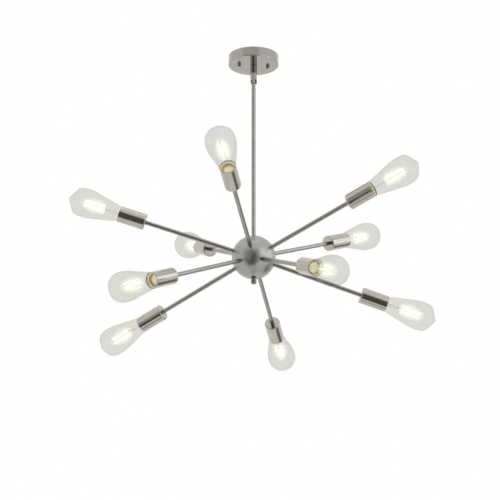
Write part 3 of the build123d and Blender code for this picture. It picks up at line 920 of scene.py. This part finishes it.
def envelope(inset):
    """Half outline of the glass from its neck's foot to the tip, drawn in by an inset."""
    neck = glass_neck_radius - inset
    step = bulb_cap_top + inset
    flare = (bulb_cap_radius - inset, step)
    belly = (belly_radius - inset, bulb_tip - belly_from_tip)
    cone_foot = (cone_foot_radius - inset, bulb_cap_top + cone_foot_rise)
    cone_top = (belly[0] - cone_top_inset, belly[1] - cone_top_drop)
    slope = (cone_top[0] - cone_foot[0]) / (cone_top[1] - cone_foot[1])
    rounding = tip_rounding - inset
    nose_start = pi / 2 - nose_half_angle
    side = (rounding * sin(nose_start), bulb_tip - tip_rounding + rounding * cos(nose_start))
    run = belly_radius - nose_inset - tip_rounding * sin(nose_start)
    nose = (side[0] + run, side[1] - run * tan(nose_start))
    points = [
        (neck, glass_foot), (neck, step - glass_step_drop), (neck + glass_step_out, step), flare,
    ]
    points += bezier(
        flare, (flare[0] + flare_out, flare[1] + flare_up),
        (cone_foot[0] - slope * flare_ease, cone_foot[1] - flare_ease), cone_foot, count=16,
    )
    points += line(cone_foot, cone_top, count=10)
    points += bezier(
        cone_top, (cone_top[0] + slope * belly_ease, cone_top[1] + belly_ease),
        (belly[0], belly[1] - belly_ease), belly, count=12,
    )
    points += bezier(
        belly, (belly[0], belly[1] + dome_ease),
        (nose[0] + nose_ease * cos(nose_start), nose[1] - nose_ease * sin(nose_start)), nose, count=18,
    )
    points += line(nose, side, count=6)
    tip = arc(rounding, nose_half_angle, pi / 2, count=4)[1:-1]
    points += [(r, bulb_tip - tip_rounding + z) for r, z in tip]
    return points + [(0, bulb_tip - inset)]


glass_profile = envelope(0) + envelope(glass_wall)[::-1]
glass_mesh = lathe("glass", glass_profile, segments=96, closed=True, sharp=glass_sharp_angle)

cap_inner = bulb_cap_radius - bulb_cap_wall
thread_top = bulb_cap_top - bulb_thread_runout
thread_foot = bulb_cap_foot + bulb_thread_start
cap_thread, cap_shape = screw(
    bulb_cap_radius, bulb_thread_depth, bulb_thread_pitch, thread_foot, thread_top, rows=12)
cap_profile = [(cap_inner, bulb_cap_foot), (bulb_cap_radius - bulb_cap_foot_inset, bulb_cap_foot)]
cap_profile += cap_thread
cap_profile += rounded([
    (bulb_cap_radius, thread_top + bulb_cap_land, 0), (bulb_cap_radius, bulb_cap_top, plain_edge),
    (cap_inner, bulb_cap_top, 0),
])
cap_mesh = lathe("bulb_cap", cap_profile, segments=96, closed=True, shape=cap_shape)
insulator_foot = bulb_seat + button_height
insulator_mesh = lathe("insulator", rounded([
    (0, insulator_foot, 0), (insulator_foot_radius, insulator_foot, wide_edge),
    (bulb_cap_radius - insulator_edge, bulb_cap_foot, insulator_rounding), (0, bulb_cap_foot, 0),
]), segments=64)
button_mesh = lathe("button", rounded([
    (0, bulb_seat, 0), (button_radius, bulb_seat, button_height / 2),
    (button_radius, insulator_foot, fine_edge), (0, insulator_foot, 0),
]), segments=48)
cement_radius = cap_inner - cement_gap
cement_foot = glass_foot - cement_depth
cement_top = glass_foot - cement_setback
cement_mesh = lathe("cement", rounded([
    (0, cement_foot, 0),
    (cement_radius, cement_foot, wide_edge),
    (cement_radius, cement_top, plain_edge),
    (cap_inner - cement_rim_width, cement_top, cement_rim_rounding),
    (0, cement_top - cement_dish, 0),
]), segments=64)

# Glass stem: a flare sealed in the neck, a pinched column and a round head
stem_mesh = lathe("stem", rounded([
    (0, glass_foot, 0),
    (stem_flare_radius, glass_foot, stem_flare_foot_rounding),
    (stem_flare_radius, glass_foot + stem_flare_height, stem_flare_top_rounding),
    (stem_flare_radius / 2, glass_foot + stem_shoulder_rise, stem_shoulder_rounding),
    (stem_head_radius, glass_foot + stem_column_rise, stem_column_rounding),
    (stem_waist_radius, stem_top - stem_waist_drop, stem_waist_rounding),
    (stem_head_radius, stem_top, stem_head_rounding),
    (0, stem_top, 0),
], steps=8), segments=48, sharp=glass_sharp_angle)

# Filament sticks, their coats and the wires that carry them
cores = []
coats = []
up = Vector((0, 0, 1))
crown = up * (stick_head + lead_crown_rise)
wires = [tube([up * (stem_top - lead_sink), crown], lead_radius)]
for number in range(stick_count):
    turn = 2 * pi * number / stick_count
    out = Vector((cos(turn), sin(turn), 0))
    foot = out * stick_foot_spread + up * stick_foot
    head = out * stick_head_spread + up * stick_head
    along = (head - foot).normalized()
    core_line = [foot + along * stick_core_inset, (foot + head) / 2, head - along * stick_core_inset]
    cores.append(tube(core_line, stick_radius, sides=12))
    coat_low = foot + along * coat_inset
    coat_high = head - along * coat_inset
    coat_line = [coat_low.lerp(coat_high, t) for t in coat_stations]
    coats.append(tube(coat_line, [coat_radius * share for share in coat_shares], sides=16))
    wires.append(tube([
        out * lead_root_spread + up * (stem_top - lead_root_sink),
        out * lead_bend_spread + up * (stem_top + lead_bend_rise),
        out * (stick_foot_spread - lead_elbow_inset) + up * (stick_foot - lead_elbow_drop),
        foot - along * lead_foot_drop,
        foot + along * lead_hold,
    ], lead_radius))
    wires.append(tube([
        head - along * lead_hold,
        head,
        out * (stick_head_spread - lead_elbow_inset) + up * (stick_head + lead_elbow_rise),
        crown,
    ], lead_radius))
core_mesh = joined("filament_cores", cores)
coat_mesh = joined("filament_coats", coats, sharp=glass_sharp_angle)

# The soft light around lit filaments: nested clear shells
shells = []
middle = (stick_foot + stick_head) / 2
bends = [pi * (i + 1) / (glow_rings + 1) for i in range(glow_rings)]
for share in glow_shares:
    half_length = glow_reach * (1 + share) / 2
    shells.append(tube(
        [(0, 0, middle - half_length * cos(bend)) for bend in bends],
        [glow_radius * share * sin(bend) * (1 + glow_taper * cos(bend)) for bend in bends],
        sides=32))
glow_mesh = joined("filament_glow", shells, sharp=glass_sharp_angle)
wire_mesh = joined("filament_wires", wires)

# An arm, cup and bulb in each place
for number, place in enumerate(arm_places, start=1):
    bulb = f"bulb_{number}"
    piece(f"arm_tube_{number}", arm_mesh, satin_nickel, "chandelier", place,
          [f"arm_{number}"])
    piece(f"cup_{number}", cup_mesh, polished_nickel, "chandelier", place,
          [f"socket_cup_{number}"])
    piece(f"liner_{number}", liner_mesh, liner_card, "chandelier", place)
    piece(f"envelope_{number}", glass_mesh, clear_glass, bulb, place,
          [f"bulb_glass_{number}"])
    piece(f"screw_cap_{number}", cap_mesh, cap_brass, bulb, place,
          [f"bulb_base_{number}"])
    piece(f"insulator_{number}", insulator_mesh, insulator_glass, bulb, place)
    piece(f"button_{number}", button_mesh, solder, bulb, place)
    piece(f"cement_{number}", cement_mesh, cement, bulb, place)
    piece(f"stem_{number}", stem_mesh, stem_glass, bulb, place)
    piece(f"filament_cores_{number}", core_mesh, filament_core, bulb, place)
    piece(f"filament_coats_{number}", coat_mesh, phosphor, bulb, place)
    piece(f"filament_glow_{number}", glow_mesh, glow_light, bulb, place)
    piece(f"filament_wires_{number}", wire_mesh, lead_wire, bulb, place)

# Model nodes that stay, with their finishes
finishes = {
    "crossbar": zinc_steel, "canopy_studs": zinc_steel, "stud_nuts": zinc_steel,
    "ground_screw": green_paint,
    "swivel_nipple": zinc_steel, "canopy_nut": zinc_steel, "swivel_knuckle": knuckle_nickel,
    "hub_stem": zinc_steel, "arm_nuts": zinc_steel, "lampholders": porcelain,
    "lampholder_contacts": contact_brass,
}
for name, material in finishes.items():
    mesh = frame["nodes"][name].data
    mesh.materials.clear()
    mesh.materials.append(material)

# Floor of the room, in metres
floor_level = -4.6
floor_radius = 12.0
bm = bmesh.new()
bmesh.ops.create_circle(bm, cap_ends=True, segments=192, radius=floor_radius)
floor = bpy.data.objects.new("floor", finished("floor", bm))
floor.location = (0, 0, floor_level)
scene.collection.objects.link(floor)
floor.data.materials.append(floor_paint)
floor.visible_glossy = False


# Camera at the photo's viewing angle. Distances are in metres and angles in degrees.

def toward(heading, elevation):
    """Unit direction by compass heading (0 is -Y, growing towards +X) and elevation, in degrees."""
    flat = cos(radians(elevation))
    return Vector((
        sin(radians(heading)) * flat, -cos(radians(heading)) * flat, sin(radians(elevation))
    ))


hub_centre = Vector((0, 0, -hub_drop * MM))
image_size = 500
focal_pixels = 1697
shift_pixels = 3.86
camera_distance = 3.7
camera_heading = -9.5
camera_drop = 17.14
camera_pitch = 17.39
camera = bpy.data.objects.new("camera", bpy.data.cameras.new("camera"))
scene.collection.objects.link(camera)
camera.data.sensor_width = 36
camera.data.lens = focal_pixels / image_size * camera.data.sensor_width
camera.location = hub_centre + toward(camera_heading, -camera_drop) * camera_distance
aim_heading = camera_heading + degrees(atan(shift_pixels / focal_pixels))
aim = -toward(aim_heading, -camera_pitch)
camera.rotation_mode = "QUATERNION"
camera.rotation_quaternion = aim.to_track_quat("-Z", "Y")
camera.data.clip_end = 100
scene.camera = camera


# Studio light

def soft_box(name, heading, elevation, distance, size, power):
    """A soft rectangular lamp aimed at the hub, which the camera doesn't see."""
    place = hub_centre + toward(heading, elevation) * distance
    data = bpy.data.lights.new(name, "AREA")
    data.shape = "RECTANGLE"
    data.size, data.size_y = size
    data.energy = power
    lamp = bpy.data.objects.new(name, data)
    scene.collection.objects.link(lamp)
    lamp.location = place
    lamp.visible_camera = False
    lamp.rotation_mode = "QUATERNION"
    lamp.rotation_quaternion = (hub_centre - place).to_track_quat("-Z", "Y")


soft_box("key", heading=62, elevation=16, distance=1.6, size=(2.2, 1.05), power=5.1)
soft_box("top", heading=10, elevation=80, distance=3.0, size=(1.8, 1.8), power=3)

# World: a white backdrop all round. Gloss also shows darker parts of the studio: around and below the
# camera, off to the right, and straight down.
world = bpy.data.worlds.new("studio")
scene.world = world
world.use_nodes = True
nodes, links = world.node_tree.nodes, world.node_tree.links
sky = nodes["Background"]
direction = nodes.new("ShaderNodeTexCoord").outputs["Generated"]
axes = nodes.new("ShaderNodeSeparateXYZ")
links.new(direction, axes.inputs["Vector"])


def maths(operation, a, b):
    """A maths node on two sockets or numbers."""
    node = nodes.new("ShaderNodeMath")
    node.operation = operation
    for socket, value in zip(node.inputs, (a, b)):
        if isinstance(value, (int, float)):
            socket.default_value = value
        else:
            links.new(value, socket)
    return node.outputs["Value"]


def step_up(value, low, high):
    """A smooth step from 0 at low to 1 at high; it falls if high is the smaller."""
    node = nodes.new("ShaderNodeMapRange")
    node.interpolation_type = "SMOOTHSTEP"
    rising = low < high
    node.inputs["From Min"].default_value = low if rising else high
    node.inputs["From Max"].default_value = high if rising else low
    node.inputs["To Min"].default_value = 0 if rising else 1
    node.inputs["To Max"].default_value = 1 if rising else 0
    links.new(value, node.inputs["Value"])
    return node.outputs["Result"]


sky_heading = maths("ARCTAN2", axes.outputs["X"], maths("MULTIPLY", axes.outputs["Y"], -1))
sky_elevation = maths("ARCSINE", axes.outputs["Z"], 0)


def patch(west, east, low, high, soft):
    """1 inside a range of headings and elevations in degrees, falling to 0 over a soft border."""
    inside = 1.0
    for angle, start, end in ((sky_heading, west, east), (sky_elevation, low, high)):
        inside = maths("MULTIPLY", step_up(angle, radians(start - soft), radians(start)), inside)
        inside = maths("MULTIPLY", step_up(angle, radians(end + soft), radians(end)), inside)
    return inside


def dimmed(colour, where, shade):
    """A colour that gives way to a shade where the mask is 1."""
    node = nodes.new("ShaderNodeMix")
    node.data_type = "RGBA"
    links.new(where, node.inputs["Factor"])
    if isinstance(colour, tuple):
        node.inputs["A"].default_value = (*colour, 1)
    else:
        links.new(colour, node.inputs["A"])
    node.inputs["B"].default_value = (*shade, 1)
    return node.outputs["Result"]


white = (1, 1, 1)
below_start, below_full = -66, -84
below_shade = (0.62, 0.60, 0.56)
dark_patches = (
    (patch(west=-55, east=8, low=-40, high=16, soft=14), (0.46, 0.45, 0.43)),
    (patch(west=-18, east=2, low=-34, high=8, soft=10), (0.12, 0.113, 0.10)),
    (patch(west=-50, east=2, low=-52, high=-34, soft=12), (0.12, 0.112, 0.10)),
    (patch(west=94, east=126, low=-42, high=-22, soft=8), (0.28, 0.26, 0.23)),
)
room = dimmed(
    white, step_up(sky_elevation, radians(below_start), radians(below_full)), below_shade)
for where, shade in dark_patches:
    room = dimmed(room, where, shade)
rays = nodes.new("ShaderNodeLightPath")
seen = maths("MAXIMUM", rays.outputs["Is Camera Ray"], rays.outputs["Is Transmission Ray"])
links.new(dimmed(room, seen, white), sky.inputs["Color"])
sky.inputs["Strength"].default_value = 1.0
